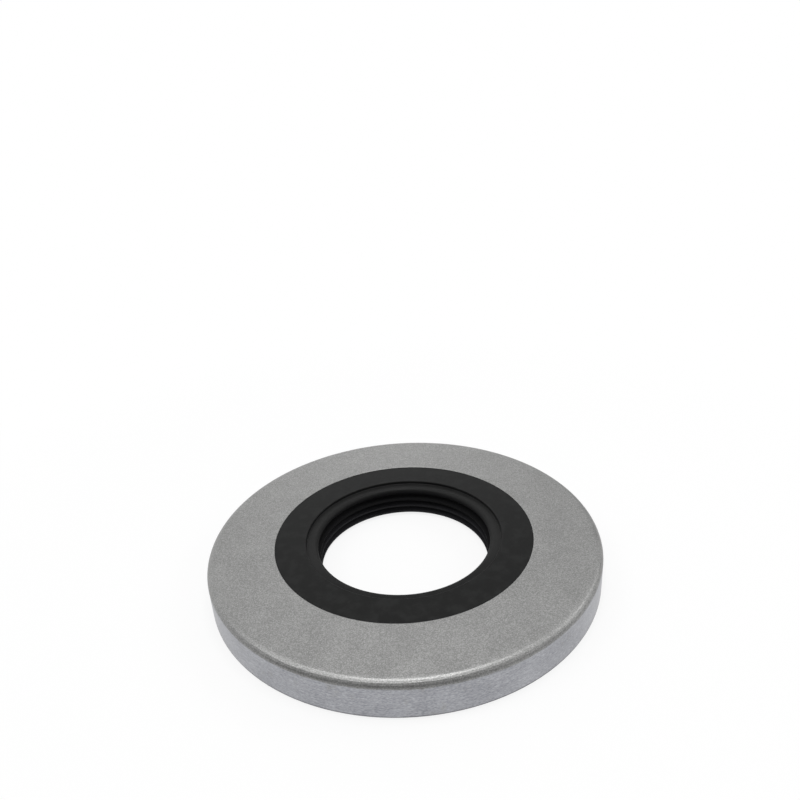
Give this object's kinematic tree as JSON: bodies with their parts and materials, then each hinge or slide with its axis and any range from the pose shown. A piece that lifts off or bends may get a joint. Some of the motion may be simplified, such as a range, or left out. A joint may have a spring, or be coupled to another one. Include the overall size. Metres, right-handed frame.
{
  "type": "gimbal bearing seal",
  "caption": "Flat ring shaft seal: a pressed steel case with a ground outer wall and a rubber insert whose bore carries sealing lips and a garter spring.",
  "frame": {"origin": "on the seal's axis, in the plane of the case's open rim that it rests on", "axes": "+Z along the axis, from the open rim towards the flat face; the seal is the same all round, so X and Y are free"},
  "size_m": [0.0856, 0.0856, 0.008],
  "materials": {
    "case_steel": "blasted face and ground outer wall",
    "seal_rubber": "matte moulded",
    "spring_steel": "drawn wire"
  },
  "bodies": {
    "root": {"outer_case": "case_steel", "lip_element": "seal_rubber", "garter_spring": "spring_steel"}
  },
  "joints": []
}
